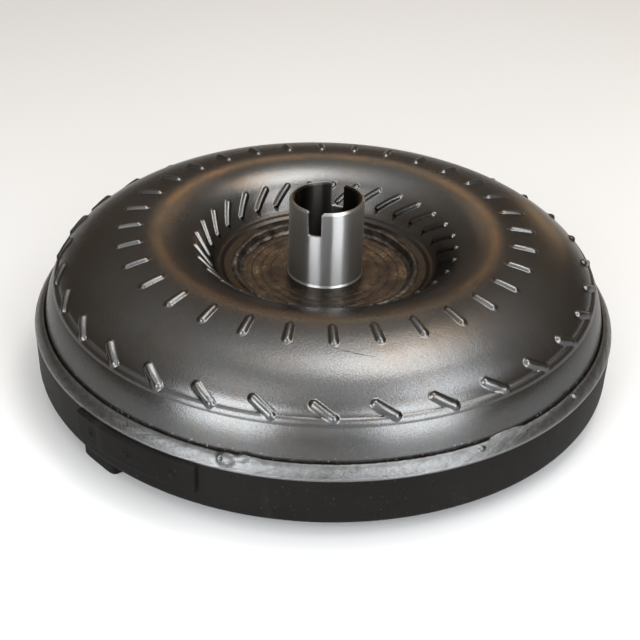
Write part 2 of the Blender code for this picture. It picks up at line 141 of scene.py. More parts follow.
def smooth_path(points, spacing):
    """Resample a path of (radius, height) with a centripetal spline at equal steps."""
    points = np.array(points, float)
    padded = np.vstack([2 * points[0] - points[1], points, 2 * points[-1] - points[-2]])
    samples = []
    for index in range(1, len(padded) - 2):
        p0, p1, p2, p3 = padded[index - 1:index + 3]
        knots = [0.0]
        for a, b in ((p0, p1), (p1, p2), (p2, p3)):
            knots.append(knots[-1] + max(np.linalg.norm(b - a), 1e-9) ** 0.5)
        t0, t1, t2, t3 = knots
        for t in np.linspace(t1, t2, 24, endpoint=False):
            a1 = (t1 - t) / (t1 - t0) * p0 + (t - t0) / (t1 - t0) * p1
            a2 = (t2 - t) / (t2 - t1) * p1 + (t - t1) / (t2 - t1) * p2
            a3 = (t3 - t) / (t3 - t2) * p2 + (t - t2) / (t3 - t2) * p3
            b1 = (t2 - t) / (t2 - t0) * a1 + (t - t0) / (t2 - t0) * a2
            b2 = (t3 - t) / (t3 - t1) * a2 + (t - t1) / (t3 - t1) * a3
            samples.append((t2 - t) / (t2 - t1) * b1 + (t - t1) / (t2 - t1) * b2)
    samples.append(points[-1])
    samples = np.array(samples)
    lengths = np.concatenate([[0.0], np.cumsum(np.linalg.norm(np.diff(samples, axis=0), axis=1))])
    count = max(2, int(round(lengths[-1] / spacing)) + 1)
    wanted = np.linspace(0.0, lengths[-1], count)
    return np.stack([np.interp(wanted, lengths, samples[:, 0]),
                     np.interp(wanted, lengths, samples[:, 1])], axis=1)


def rounded_profile(corners):
    """Turn (radius, height, fillet) corners of a closed outline into arcs and lines."""
    outline = []
    count = len(corners)
    for index, (r, z, fillet) in enumerate(corners):
        corner = np.array((r, z), float)
        before = np.array(corners[index - 1][:2], float)
        after = np.array(corners[(index + 1) % count][:2], float)
        if fillet <= 0.0:
            outline.append(tuple(corner))
            continue
        into = (before - corner) / np.linalg.norm(before - corner)
        away = (after - corner) / np.linalg.norm(after - corner)
        half = math.acos(max(-1.0, min(1.0, float(into @ away)))) / 2.0
        reach = min(fillet / math.tan(half),
                    0.49 * np.linalg.norm(before - corner), 0.49 * np.linalg.norm(after - corner))
        first = corner + into * reach
        last = corner + away * reach
        steps = 5
        for step in range(steps + 1):
            t = step / steps
            outline.append(tuple((1 - t) ** 2 * first + 2 * t * (1 - t) * corner + t * t * last))
    return outline


def turn_profile(mesh_data, outline, segments, shape=None):
    """Spin a closed outline round Z; shape(angle, index, radius, height) may move a point."""
    rows = []
    for step in range(segments):
        angle = 2.0 * math.pi * step / segments
        row = []
        for index, (radius, height) in enumerate(outline):
            if shape:
                radius, height, turned = shape(angle, index, radius, height)
            else:
                turned = angle
            row.append(mesh_data.verts.new((radius * math.cos(turned), radius * math.sin(turned), height)))
        rows.append(row)
    for step in range(segments):
        here = rows[step]
        there = rows[(step + 1) % segments]
        for index in range(len(outline)):
            after = (index + 1) % len(outline)
            mesh_data.faces.new((here[index], here[after], there[after], there[index]))


def turned(name, outline, segments, material, shape=None, crease=40.0):
    """A ring-shaped piece turned from a closed outline."""
    mesh_data = bmesh.new()
    turn_profile(mesh_data, outline, segments, shape)
    return new_object(name, mesh_data, material, crease)


def wave(angle, terms):
    """A smooth closed wobble: sum of (count, phase, height) terms."""
    return sum(height * math.sin(count * angle + phase) for count, phase, height in terms)


# ---------------------------------------------------------------- materials
class Nodes:
    """Short calls for building one material's node tree."""

    def __init__(self, name):
        self.material = bpy.data.materials.new(name)
        self.material.use_nodes = True
        self.tree = self.material.node_tree
        self.shader = self.tree.nodes["Principled BSDF"]
        self.place = self.add("ShaderNodeTexCoord").outputs["Object"]

    def add(self, kind, **settings):
        node = self.tree.nodes.new(kind)
        for key, value in settings.items():
            setattr(node, key, value)
        return node

    def link(self, source, target):
        self.tree.links.new(source, target)

    def noise(self, scale, detail=4.0, roughness=0.55, stretch=None):
        node = self.add("ShaderNodeTexNoise")
        node.inputs["Scale"].default_value = scale
        node.inputs["Detail"].default_value = detail
        node.inputs["Roughness"].default_value = roughness
        source = self.place
        if stretch:
            mapping = self.add("ShaderNodeMapping")
            mapping.inputs["Scale"].default_value = stretch
            self.link(self.place, mapping.inputs["Vector"])
            source = mapping.outputs["Vector"]
        self.link(source, node.inputs["Vector"])
        return node.outputs["Fac"]

    def ramp(self, source, stops):
        node = self.add("ShaderNodeValToRGB")
        elements = node.color_ramp.elements
        while len(elements) < len(stops):
            elements.new(0.5)
        for element, (position, colour) in zip(elements, stops):
            element.position = position
            if isinstance(colour, (int, float)):
                colour = (colour, colour, colour)
            element.color = (*colour, 1.0)
        self.link(source, node.inputs["Fac"])
        return node.outputs["Color"]

    def mix(self, amount, first, second, blend="MIX"):
        node = self.add("ShaderNodeMix", data_type="RGBA", blend_type=blend)
        for socket, value in ((node.inputs[0], amount), (node.inputs[6], first), (node.inputs[7], second)):
            if isinstance(value, (int, float)):
                socket.default_value = value
            elif isinstance(value, tuple):
                socket.default_value = (*value, 1.0)
            else:
                self.link(value, socket)
        return node.outputs[2]

    def math(self, operation, first, second=0.0, clamp=False):
        node = self.add("ShaderNodeMath", operation=operation, use_clamp=clamp)
        for socket, value in ((node.inputs[0], first), (node.inputs[1], second)):
            if isinstance(value, (int, float)):
                socket.default_value = value
            else:
                self.link(value, socket)
        return node.outputs[0]

    def radius_and_height(self):
        split = self.add("ShaderNodeSeparateXYZ")
        self.link(self.place, split.inputs[0])
        squares = self.math("ADD", self.math("MULTIPLY", split.outputs[0], split.outputs[0]),
                            self.math("MULTIPLY", split.outputs[1], split.outputs[1]))
        return self.math("SQRT", squares), split.outputs[2]

    def between(self, value, low, high, soft):
        rising = self.add("ShaderNodeMapRange", interpolation_type="SMOOTHSTEP")
        falling = self.add("ShaderNodeMapRange", interpolation_type="SMOOTHSTEP")
        for node, start, end in ((rising, low - soft, low + soft), (falling, high + soft, high - soft)):
            node.inputs["From Min"].default_value = start
            node.inputs["From Max"].default_value = end
            self.link(value, node.inputs["Value"])
        return self.math("MULTIPLY", rising.outputs[0], falling.outputs[0])

    def bump(self, layers):
        """Chain (source, strength, distance) bumps into the shader's normal."""
        normal = None
        for source, strength, distance in layers:
            node = self.add("ShaderNodeBump")
            node.inputs["Strength"].default_value = strength
            node.inputs["Distance"].default_value = distance
            self.link(source, node.inputs["Height"])
            if normal:
                self.link(normal, node.inputs["Normal"])
            normal = node.outputs["Normal"]
        self.link(normal, self.shader.inputs["Normal"])

    def finish(self, colour, roughness, metallic, coat=0.0, coat_roughness=0.2):
        for name, value in (("Base Color", colour), ("Roughness", roughness), ("Metallic", metallic)):
            socket = self.shader.inputs[name]
            if isinstance(value, (int, float)):
                socket.default_value = value
            elif isinstance(value, tuple):
                socket.default_value = (*value, 1.0)
            else:
                self.link(value, socket)
        self.shader.inputs["Coat Weight"].default_value = coat
        self.shader.inputs["Coat Roughness"].default_value = coat_roughness
        return self.material


def scratch_mask(m):
    """A fine curved scratch on the dome in front of the hub."""
    place = m.add("ShaderNodeMapping", vector_type="TEXTURE")
    place.inputs["Location"].default_value = (*SCRATCH_CENTRE, 0.0)
    place.inputs["Rotation"].default_value = (0.0, 0.0, SCRATCH_ANGLE)
    m.link(m.place, place.inputs["Vector"])
    split = m.add("ShaderNodeSeparateXYZ")
    m.link(place.outputs[0], split.inputs[0])
    along = split.outputs[0]
    share = m.math("DIVIDE", along, SCRATCH_HALF_LENGTH)
    sag = m.math("MULTIPLY", m.math("SUBTRACT", 1.0, m.math("MULTIPLY", share, share)), SCRATCH_SAG)
    aside = m.math("ADD", split.outputs[1], sag)
    line = m.between(aside, -0.15 * MM, 0.15 * MM, 0.08 * MM)
    ends = m.between(along, -SCRATCH_HALF_LENGTH, SCRATCH_HALF_LENGTH, 1.0 * MM)
    worn = m.ramp(m.noise(300.0, 2.0, 0.5), [(0.40, 0.35), (0.55, 1.0)])
    return m.math("MULTIPLY", m.math("MULTIPLY", line, ends), worn)


def shell_material():
    """Dark gunmetal sheet steel: fine grain, faint brown staining, sooty beside the weld, a painted warm
    reflection round the crest and painted shade in the recess round the hub.
    """
    m = Nodes("shell_gunmetal")
    radius, height = m.radius_and_height()
    cloud = m.noise(14.0, 5.0, 0.55)
    stain = m.noise(42.0, 6.0, 0.62)
    base = m.ramp(cloud, [(0.30, (0.079, 0.079, 0.079)), (0.70, (0.092, 0.093, 0.094))])
    base = m.mix(m.ramp(stain, [(0.46, 0.0), (0.72, 0.45)]), base, (0.078, 0.063, 0.049))
    speck = m.ramp(m.noise(1500.0, 2.0, 0.6), [(0.30, (0.70, 0.70, 0.70)), (0.62, (1.10, 1.10, 1.10))])
    base = m.mix(0.55, base, speck, "MULTIPLY")
    groove = m.between(height, 36.4 * MM, 39.2 * MM, 0.6 * MM)
    outside = m.between(radius, 140.0 * MM, 147.0 * MM, 0.5 * MM)
    patchy = m.ramp(m.noise(170.0, 4.0, 0.7), [(0.30, 0.35), (0.60, 1.0)])
    soot = m.math("MULTIPLY", m.math("MULTIPLY", groove, outside), patchy)
    base = m.mix(soot, base, (0.016, 0.013, 0.011))
    near_weld = m.math("MULTIPLY", m.between(height, 37.4 * MM, 40.6 * MM, 0.7 * MM), outside)
    spatter = m.math("MULTIPLY", near_weld, m.ramp(m.noise(620.0, 1.0, 0.5), [(0.66, 0.0), (0.69, 0.85)]))
    base = m.mix(spatter, base, (0.200, 0.200, 0.195))
    bowl = m.between(radius, 44.0 * MM, 60.0 * MM, 2.0 * MM)
    tinted = m.math("MULTIPLY", bowl, m.ramp(stain, [(0.42, 0.0), (0.68, 0.6)]))
    base = m.mix(tinted, base, (0.066, 0.054, 0.043))
    # Painted reflection: a grainy tan ring round the crest stands in for the warm lamp's reflection.
    grain = m.ramp(m.noise(900.0, 3.0, 0.7), [(0.38, 0.30), (0.60, 1.0)])
    warm_reflection_patches = m.math("MULTIPLY", grain, m.ramp(stain, [(0.38, 0.12), (0.62, 0.95)]))
    crest = m.math("MULTIPLY", m.between(radius, 83.2 * MM, 87.4 * MM, 2.0 * MM), warm_reflection_patches)
    base = m.mix(crest, base, (0.185, 0.138, 0.098))
    # Painted shade: the recess round the hub is darkened to less than half.
    recess = m.between(radius, 0.0, 57.5 * MM, 1.2 * MM)
    base = m.mix(recess, base, m.mix(1.0, base, (0.42, 0.40, 0.38), "MULTIPLY"))
    scratch = scratch_mask(m)
    base = m.mix(scratch, base, (0.018, 0.016, 0.015))
    rough = m.ramp(cloud, [(0.3, 0.23), (0.7, 0.29)])
    rough = m.mix(soot, rough, (0.75, 0.75, 0.75))
    rough = m.mix(scratch, rough, (0.60, 0.60, 0.60))
    m.bump([(m.noise(1100.0, 3.0, 0.65), 0.30, 0.00025), (m.noise(300.0, 3.0, 0.5), 0.05, 0.0005),
            (m.noise(28.0, 2.0, 0.5), 0.03, 0.004)])
    m.shader.inputs["Specular Tint"].default_value = (0.75, 0.75, 0.75, 1.0)
    return m.finish(base, rough, 1.0)


def skirt_material(name="skirt_black", gloss=0.05):
    """Near-black brown paint, matte with faint rub marks."""
    m = Nodes(name)
    cloud = m.noise(22.0, 6.0, 0.6)
    streak = m.noise(60.0, 5.0, 0.6, (1.0, 1.0, 0.18))
    base = m.ramp(cloud, [(0.3, (0.0045, 0.0041, 0.0038)), (0.7, (0.0070, 0.0063, 0.0059))])
    base = m.mix(m.ramp(streak, [(0.60, 0.0), (0.82, 0.5)]), base, (0.020, 0.018, 0.0165))
    fleck = m.ramp(m.noise(900.0, 1.0, 0.5), [(0.71, 0.0), (0.77, 0.35)])
    base = m.mix(fleck, base, (0.070, 0.065, 0.060))
    rough = m.ramp(cloud, [(0.3, 0.46), (0.7, 0.58)])
    m.bump([(m.noise(800.0, 3.0, 0.6), 0.12, 0.0003), (m.noise(120.0, 3.0, 0.5), 0.06, 0.001)])
    m.shader.inputs["Specular IOR Level"].default_value = gloss
    return m.finish(base, rough, 0.0)


def weld_material():
    """Bare grey weld metal with a painted highlight along its outer lower edge and a little oxide in its
    hollows.
    """
    m = Nodes("weld_bead")
    radius, _height = m.radius_and_height()
    fine = m.noise(900.0, 5.0, 0.72)
    patch = m.noise(330.0, 5.0, 0.65)
    base = m.ramp(patch, [(0.30, (0.070, 0.070, 0.069)), (0.64, (0.108, 0.109, 0.110))])
    rust = m.ramp(m.noise(150.0, 6.0, 0.7), [(0.60, 0.0), (0.74, 0.55)])
    base = m.mix(rust, base, (0.038, 0.032, 0.027))
    # Painted highlight: a lighter band along the bead's outer lower edge.
    painted_edge_highlight = m.between(radius, 148.8 * MM, 149.6 * MM, 0.12 * MM)
    base = m.mix(painted_edge_highlight, base, (0.150, 0.150, 0.150))
    m.bump([(fine, 0.45, 0.0003), (patch, 0.24, 0.0006)])
    return m.finish(base, m.ramp(fine, [(0.3, 0.26), (0.7, 0.44)]), 1.0)


def hub_weld_material():
    """Dark oxidised weld round the flange, bright only on its crests."""
    m = Nodes("hub_weld_metal")
    fine = m.noise(700.0, 5.0, 0.72)
    patch = m.noise(120.0, 6.0, 0.70)
    base = m.ramp(patch, [(0.36, (0.022, 0.017, 0.013)), (0.55, (0.060, 0.052, 0.045)),
                          (0.70, (0.130, 0.126, 0.120))])
    m.bump([(fine, 0.50, 0.0004), (patch, 0.35, 0.0008)])
    return m.finish(base, m.ramp(fine, [(0.3, 0.34), (0.7, 0.55)]), 1.0)


def hub_neck_material():
    """Bright ground steel, brushed round the neck, with painted shade in the bore."""
    m = Nodes("hub_ground")
    radius, _height = m.radius_and_height()
    rings = m.noise(260.0, 3.0, 0.6, (0.03, 0.03, 6.0))
    smear = m.noise(45.0, 5.0, 0.6, (1.0, 1.0, 0.3))
    base = m.ramp(smear, [(0.3, (0.27, 0.27, 0.27)), (0.7, (0.31, 0.31, 0.31))])
    # Painted shade: the bore and its chamfer are darkened almost to black.
    painted_bore_shade = m.between(radius, 0.0, 17.6 * MM, 0.25 * MM)
    base = m.mix(painted_bore_shade, base, (0.030, 0.028, 0.026))
    rough = m.ramp(smear, [(0.3, 0.34), (0.7, 0.37)])
    m.bump([(rings, 0.05, 0.0002)])
    around = m.add("ShaderNodeTangent", direction_type="RADIAL", axis="Z")
    m.link(around.outputs["Tangent"], m.shader.inputs["Tangent"])
    m.shader.inputs["Anisotropic"].default_value = 1.0
    m.shader.inputs["Anisotropic Rotation"].default_value = 0.25
    return m.finish(base, rough, 1.0)


def hub_flange_material():
    """Turned flange with brown heat tint and dark oxide round the neck."""
    m = Nodes("hub_flange_tint")
    radius, _height = m.radius_and_height()
    rings = m.add("ShaderNodeTexNoise", noise_dimensions="1D")
    rings.inputs["Scale"].default_value = 1200.0
    rings.inputs["Detail"].default_value = 3.0
    m.link(radius, rings.inputs["W"])
    patch = m.noise(90.0, 7.0, 0.72)
    smear = m.noise(260.0, 5.0, 0.7)
    base = m.ramp(patch, [(0.30, (0.010, 0.008, 0.007)), (0.45, (0.036, 0.027, 0.020)),
                          (0.60, (0.078, 0.061, 0.047)), (0.72, (0.120, 0.110, 0.100))])
    base = m.mix(m.ramp(smear, [(0.50, 0.0), (0.68, 0.8)]), base, (0.018, 0.013, 0.010))
    dark = m.between(radius, 19.0 * MM, 24.0 * MM, 2.5 * MM)
    dark = m.math("MULTIPLY", dark, m.ramp(m.noise(120.0, 4.0, 0.6), [(0.35, 0.3), (0.6, 0.9)]))
    base = m.mix(dark, base, (0.022, 0.015, 0.010))
    bright = m.ramp(rings.outputs["Fac"], [(0.35, (0.75, 0.75, 0.75)), (0.65, (1.25, 1.22, 1.18))])
    base = m.mix(0.8, base, bright, "MULTIPLY")
    rough = m.ramp(patch, [(0.3, 0.42), (0.7, 0.20)])
    m.bump([(rings.outputs["Fac"], 0.16, 0.0002), (smear, 0.22, 0.0004)])
    return m.finish(base, rough, 0.9)


def steel_material(name, dark, light, roughness, scratch=(1.0, 1.0, 0.1)):
    """Machined or pressed steel inside the converter."""
    m = Nodes(name)
    patch = m.noise(60.0, 4.0, 0.6)
    lines = m.noise(500.0, 3.0, 0.6, scratch)
    base = m.ramp(patch, [(0.3, dark), (0.7, light)])
    rough = m.ramp(lines, [(0.3, roughness - 0.06), (0.7, roughness + 0.08)])
    m.bump([(lines, 0.15, 0.0002), (m.noise(1100.0, 2.0, 0.5), 0.08, 0.0002)])
    return m.finish(base, rough, 0.97)


def cast_material():
    """Die-cast aluminium."""
    m = Nodes("cast_aluminium_fine")
    patch = m.noise(80.0, 5.0, 0.65)
    base = m.ramp(patch, [(0.3, (0.50, 0.50, 0.49)), (0.7, (0.66, 0.66, 0.65))])
    m.bump([(m.noise(700.0, 4.0, 0.7), 0.4, 0.0004)])
    return m.finish(base, m.ramp(patch, [(0.3, 0.42), (0.7, 0.55)]), 0.95)


def paper_material():
    """Brown friction paper."""
    m = Nodes("friction_paper_fibre")
    fibre = m.noise(900.0, 5.0, 0.75)
    base = m.ramp(fibre, [(0.3, (0.10, 0.070, 0.045)), (0.7, (0.21, 0.155, 0.105))])
    m.bump([(fibre, 0.5, 0.0004)])
    return m.finish(base, 0.93, 0.0)


def bronze_material():
    """Plain bearing bronze."""
    m = Nodes("bearing_bronze")
    patch = m.noise(75.0, 4.0, 0.6)
    base = m.ramp(patch, [(0.3, (0.36, 0.22, 0.10)), (0.7, (0.56, 0.38, 0.19))])
    m.bump([(m.noise(500.0, 3.0, 0.6), 0.2, 0.0003)])
    return m.finish(base, m.ramp(patch, [(0.3, 0.30), (0.7, 0.42)]), 0.98)


# ---------------------------------------------------------------- pump shell
# Outer face from the rim to the bore, as (radius, height) in millimetres.
BAND = [(143.4, 28.0), (143.4, 36.6), (143.1, 37.3), (143.3, 38.3), (142.9, 40.5), (142.0, 44.2),
        (140.9, 47.6), (139.9, 50.1), (139.0, 52.0), (138.5, 52.9)]
SHOULDER = [(138.45, 53.05), (138.2, 54.1), (137.5, 55.3), (136.7, 55.95), (136.2, 56.15)]
DOME = [(135.75, 56.25), (135.55, 56.8), (134.9, 58.0), (131.4, 61.6), (123.6, 67.1), (115.0, 70.9),
        (106.6, 73.35), (98.0, 75.0), (89.0, 75.6), (80.0, 74.1), (73.4, 71.6), (67.8, 68.3),
        (62.6, 63.3), (58.9, 58.6)]
RECESS = [(57.6, 56.6), (56.2, 55.6), (54.6, 55.2), (53.4, 54.9), (52.9, 54.2), (51.9, 54.0),
          (50.0, 53.9), (48.0, 53.8), (46.2, 53.6)]
SHELL_WALL = 3.0 * MM


RIB_STEP = 0.5 * MM
PLAIN_STEP = 1.1 * MM
LIFT_BLEND = 1.6 * MM
FILL_LIFT = 0.5 * MM


class RibRow:
    """One row of embossed ribs: each runs from (r0, a0) to (r1, a1) on the shell."""

    def __init__(self, radius_a, radius_b, angle_a, angle_b, half_width, height):
        self.radius_a = radius_a * MM
        self.radius_b = radius_b * MM
        self.angle_a = math.radians(angle_a)
        self.angle_b = math.radians(angle_b)
        self.half_width = half_width * MM
        self.height = height * MM

    def reaches(self, radius):
        """Whether the row's ribs come to this radius."""
        low = min(self.radius_a, self.radius_b) - self.half_width
        high = max(self.radius_a, self.radius_b) + self.half_width
        return low <= radius <= high


RIB_ROWS = [
    RibRow(136.3, 132.6, -0.6, -4.2, 2.35, 1.6),
    RibRow(104.6, 95.4, -0.3, -0.5, 2.2, 1.3),
    RibRow(66.4, 59.9, -5.8, 2.8, 1.75, 1.35),
]


def thin_out(path):
    """Keep points of a fine path at small steps where ribs stand and larger ones elsewhere."""
    kept = [path[0]]
    for point in path[1:-1]:
        ribbed = any(row.reaches(point[0]) for row in RIB_ROWS)
        if np.linalg.norm(point - kept[-1]) >= (RIB_STEP if ribbed else PLAIN_STEP):
            kept.append(point)
    kept.append(path[-1])
    return np.array(kept)


def shell_outer_path():
    """The shell's outer face as points, with a fine line, a rounded shoulder and a crisp crease."""
    sections = []
    for section in (BAND, SHOULDER, DOME, RECESS):
        fine = smooth_path([(r * MM, z * MM) for r, z in section], 0.1 * MM)
        sections.append(thin_out(fine))
    return np.vstack(sections)


def rib_lift(path_s, path_r, angles):
    """How far each grid point of the shell is lifted by the rib rows."""
    lift = np.zeros((len(angles), len(path_r)))
    pitch = 2.0 * math.pi / BLADES
    phase = (angles - BLADE_PHASE + pitch / 2.0) % pitch - pitch / 2.0
    for row in RIB_ROWS:
        order = np.argsort(path_r)
        s_a = np.interp(row.radius_a, path_r[order], path_s[order])
        s_b = np.interp(row.radius_b, path_r[order], path_s[order])
        centre_radius = (row.radius_a + row.radius_b) / 2.0
        a = np.array([s_a, row.angle_a * centre_radius])
        b = np.array([s_b, row.angle_b * centre_radius])
        axis = b - a
        length = np.linalg.norm(axis)
        axis = axis / length
        for turn in (-pitch, 0.0, pitch):
            along_s = path_s[None, :] - a[0]
            across = (phase[:, None] - turn) * centre_radius - a[1]
            t = along_s * axis[0] + across * axis[1]
            t_clamped = np.clip(t, 0.0, length)
            gap = np.hypot(along_s - t_clamped * axis[0], across - t_clamped * axis[1])
            x = np.clip(gap / row.half_width, 0.0, 1.0)
            lift = np.maximum(lift, row.height * (1.0 - x ** 2))
    return lift


def even_out(values, path_s):
    """Average values along the path over a few millimetres, so ribs pass smoothly over the crease."""
    near = np.exp(-((path_s[:, None] - path_s[None, :]) / LIFT_BLEND) ** 2)
    near = near * np.gradient(path_s)[None, :]
    return near @ values / near.sum(axis=1)[:, None]


def make_shell(material):
    """The pump shell: turned sheet with raised ribs, a crease and a stepped recess."""
    path = shell_outer_path()
    steps = np.linalg.norm(np.diff(path, axis=0), axis=1)
    path_s = np.concatenate([[0.0], np.cumsum(steps)])
    tangent = np.gradient(path, axis=0)
    tangent = tangent / np.linalg.norm(tangent, axis=1)[:, None]
    normal = np.stack([tangent[:, 1], -tangent[:, 0]], axis=1)
    lift_way = even_out(normal, path_s)
    lift_way = lift_way / np.linalg.norm(lift_way, axis=1)[:, None]
    under_ribs = even_out(path, path_s)
    segments = BLADES * 56
    angles = np.linspace(0.0, 2.0 * math.pi, segments, endpoint=False)
    lift = rib_lift(path_s, path[:, 0], angles)
    inner_from = path[::6]
    inner_normal = normal[::6]
    inner = inner_from - inner_normal * SHELL_WALL
    inner = inner[inner[:, 1] > SHELL_BOTTOM]
    inner = inner[::-1]
    mesh_data = bmesh.new()
    rows = []
    for step, angle in enumerate(angles):
        cos_a = math.cos(angle)
        sin_a = math.sin(angle)
        ribbed = np.clip(lift[step] / FILL_LIFT, 0.0, 1.0)[:, None]
        outer = path + (under_ribs - path) * ribbed + lift_way * lift[step][:, None]
        loop = np.vstack([outer, inner])
        rows.append([mesh_data.verts.new((r * cos_a, r * sin_a, z)) for r, z in loop])
    count = len(rows[0])
    for step in range(segments):
        here = rows[step]
        there = rows[(step + 1) % segments]
        for index in range(count):
            after = (index + 1) % count
            mesh_data.faces.new((here[index], here[after], there[after], there[index]))
    return new_object("pump_shell", mesh_data, material, 55.0)


# ---------------------------------------------------------------- welds
BEAD_FACE = [(143.6, 37.5), (144.0, 38.2), (144.8, 38.4), (146.2, 37.6), (147.5, 36.1), (148.5, 34.5),
             (149.0, 33.3), (149.1, 32.7)]
BEAD_UNDERSIDE = [(148.9, 32.3), (143.5, 32.3)]
BEAD_RADIUS = 147.0 * MM

# Marks on the bead: polar angle in degrees, place across it, half length, half width and height in mm.
BEAD_MARKS = (
    (-87.6, 3.9, 5.2, 4.2, 1.10),
    (-88.4, 4.4, 1.9, 1.9, 0.50),
    (-88.4, 4.4, 1.1, 1.1, -1.40),
    (-85.0, 2.2, 4.2, 2.6, 0.90),
    (-83.6, 1.6, 6.0, 1.5, 0.60),
    (-37.8, 0.7, 10.5, 0.9, 1.50),
    (-34.4, 0.9, 4.5, 0.8, 0.60),
    (-43.3, 4.0, 2.0, 1.5, 0.70),
    (-18.8, 3.5, 1.6, 1.6, 0.80),
)


def bead_lift(angle, across):
    """How far the bead stands proud of its plain section: ripples and marks."""
    lift = wave(angle + across / (60.0 * MM), ((173, 2.1, 0.015), (71, 1.2, 0.030), (17, 0.5, 0.060))) * MM
    for centre, place, half_length, half_width, height in BEAD_MARKS:
        gap = (angle - math.radians(centre) + math.pi) % (2.0 * math.pi) - math.pi
        along = gap * BEAD_RADIUS / (half_length * MM)
        aside = (across - place * MM) / (half_width * MM)
        reach = along * along + aside * aside
        if reach < 1.0:
            lift += height * MM * (1.0 - reach) ** 1.5
    return lift


def make_closure_weld(material):
    """The bead between cover and shell, with its start-stop lump and crater."""
    face = smooth_path([(r * MM, z * MM) for r, z in BEAD_FACE], 0.4 * MM)
    steps = np.linalg.norm(np.diff(face, axis=0), axis=1)
    across = np.concatenate([[0.0], np.cumsum(steps)])
    tangent = np.gradient(face, axis=0)
    tangent = tangent / np.linalg.norm(tangent, axis=1)[:, None]
    outward = np.stack([-tangent[:, 1], tangent[:, 0]], axis=1)
    outline = [tuple(point) for point in face] + [(r * MM, z * MM) for r, z in BEAD_UNDERSIDE]

    def shape(angle, index, radius, height):
        if 0 < index < len(face) - 1:
            lift = bead_lift(angle, across[index])
            radius += outward[index][0] * lift
            height += outward[index][1] * lift
        return radius, height, angle

    segments = 1920
    return turned("closure_bead", outline, segments, material, shape, 70.0)


HUB_BEAD = rounded_profile([
    (42.6 * MM, 49.9 * MM, 0.0), (49.0 * MM, 50.6 * MM, 0.0), (49.0 * MM, 53.6 * MM, 0.0),
    (47.2 * MM, 54.4 * MM, 0.6 * MM), (45.7 * MM, 54.1 * MM, 0.8 * MM), (44.2 * MM, 51.4 * MM, 1.2 * MM),
    (42.6 * MM, 50.5 * MM, 0.2 * MM),
])


def hub_weld_shape(angle, index, radius, height):
    """Low irregular ripples of a hand-laid fillet."""
    ripple = wave(angle, ((67, 0.2, 0.07), (31, 1.0, 0.12), (11, 2.0, 0.16), (5, 0.6, 0.12)))
    if index > 2:
        height += ripple * MM
        radius += 0.5 * ripple * MM
    return radius, height, angle


def make_hub_weld(material):
    """The fillet round the hub flange."""
    return turned("hub_fillet", HUB_BEAD, 480, material, hub_weld_shape, 70.0)


# ---------------------------------------------------------------- cover and engine side
def make_cover(material):
    """The pressed cover with rounded edge, pressed ring and skirt."""
    inner = SKIRT_RADIUS - 4.6 * MM
    floor = COVER_BOTTOM + 4.0 * MM
    hole = PILOT_RADIUS + 0.3 * MM
    outline = rounded_profile([
        (hole, floor, 0.0), (hole, COVER_BOTTOM, 0.6 * MM),
        (52.0 * MM, COVER_BOTTOM, 2.0 * MM), (54.5 * MM, COVER_BOTTOM + 1.4 * MM, 2.0 * MM),
        (98.0 * MM, COVER_BOTTOM + 1.4 * MM, 2.0 * MM), (101.0 * MM, COVER_BOTTOM, 2.0 * MM),
        (SKIRT_RADIUS, COVER_BOTTOM, 3.0 * MM), (SKIRT_RADIUS, COVER_RIM, 0.4 * MM),
        (inner, COVER_RIM, 0.4 * MM), (inner, floor, 2.0 * MM),
    ])
    return turned("cover_pressing", outline, 256, material)


def make_pilot(material):
    """The pilot with its centre drilling."""
    outline = rounded_profile([
        (1.2 * MM, PILOT_END + 4.0 * MM, 0.0), (5.0 * MM, PILOT_END + 0.2 * MM, 0.3 * MM),
        (PILOT_RADIUS, PILOT_END, 1.2 * MM), (PILOT_RADIUS, COVER_BOTTOM - 1.2 * MM, 0.0),
        (PILOT_RADIUS - 0.8 * MM, COVER_BOTTOM - 0.6 * MM, 0.2 * MM),
        (PILOT_RADIUS, COVER_BOTTOM, 0.0), (PILOT_RADIUS, COVER_BOTTOM + 3.9 * MM, 0.3 * MM),
        (1.2 * MM, COVER_BOTTOM + 3.9 * MM, 0.0),
    ])
    return turned("pilot_turning", outline, 96, material)


def make_lug(number, material):
    """One mounting pad: rounded block, chamfered bolt hole with thread grooves."""
    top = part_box(f"mounting_lug_{number}")[1][2]
    angle = LUG_PHASE + 2.0 * math.pi * (number - 1) / 3
    mesh_data = bmesh.new()
    steps = 96

    def squared(part):
        """Push a sine or cosine outwards, so the circle becomes a rounded square."""
        return math.copysign(abs(part) ** LUG_SQUARENESS, part)

    def outer_loop(height, inset):
        loop = []
        for index in range(steps):
            turn = 2.0 * math.pi * (index + 0.5) / steps
            across = squared(math.cos(turn)) * (LUG_RADIAL / 2.0 - inset * MM)
            along = squared(math.sin(turn)) * (LUG_ACROSS / 2.0 - inset * MM)
            loop.append(mesh_data.verts.new((across, along, height)))
        return loop

    def hole_loop(height, radius):
        loop = []
        for index in range(steps):
            turn = 2.0 * math.pi * (index + 0.5) / steps
            loop.append(mesh_data.verts.new((radius * math.cos(turn), radius * math.sin(turn), height)))
        return loop

    levels = [outer_loop(0.0, 1.1), outer_loop(0.35 * MM, 0.35), outer_loop(1.1 * MM, 0.0),
              outer_loop(top, 0.0), hole_loop(top, 4.2 * MM)]
    threads = 5
    for thread in range(threads):
        height = top - (thread + 0.5) * 1.4 * MM
        levels.append(hole_loop(height + 0.45 * MM, 4.2 * MM))
        levels.append(hole_loop(height, 4.75 * MM))
        levels.append(hole_loop(height - 0.45 * MM, 4.2 * MM))
    levels.append(hole_loop(0.6 * MM, 4.3 * MM))
    levels.append(hole_loop(0.0, 4.9 * MM))
    for index, here in enumerate(levels):
        there = levels[(index + 1) % len(levels)]
        for step in range(steps):
            after = (step + 1) % steps
            mesh_data.faces.new((here[step], here[after], there[after], there[step]))
    turn = Matrix.Rotation(angle, 4, "Z") @ Matrix.Translation((LUG_PITCH_RADIUS, 0.0, 0.0))
    bmesh.ops.transform(mesh_data, matrix=turn, verts=mesh_data.verts)
    return new_object(f"lug_pad_{number}", mesh_data, material)


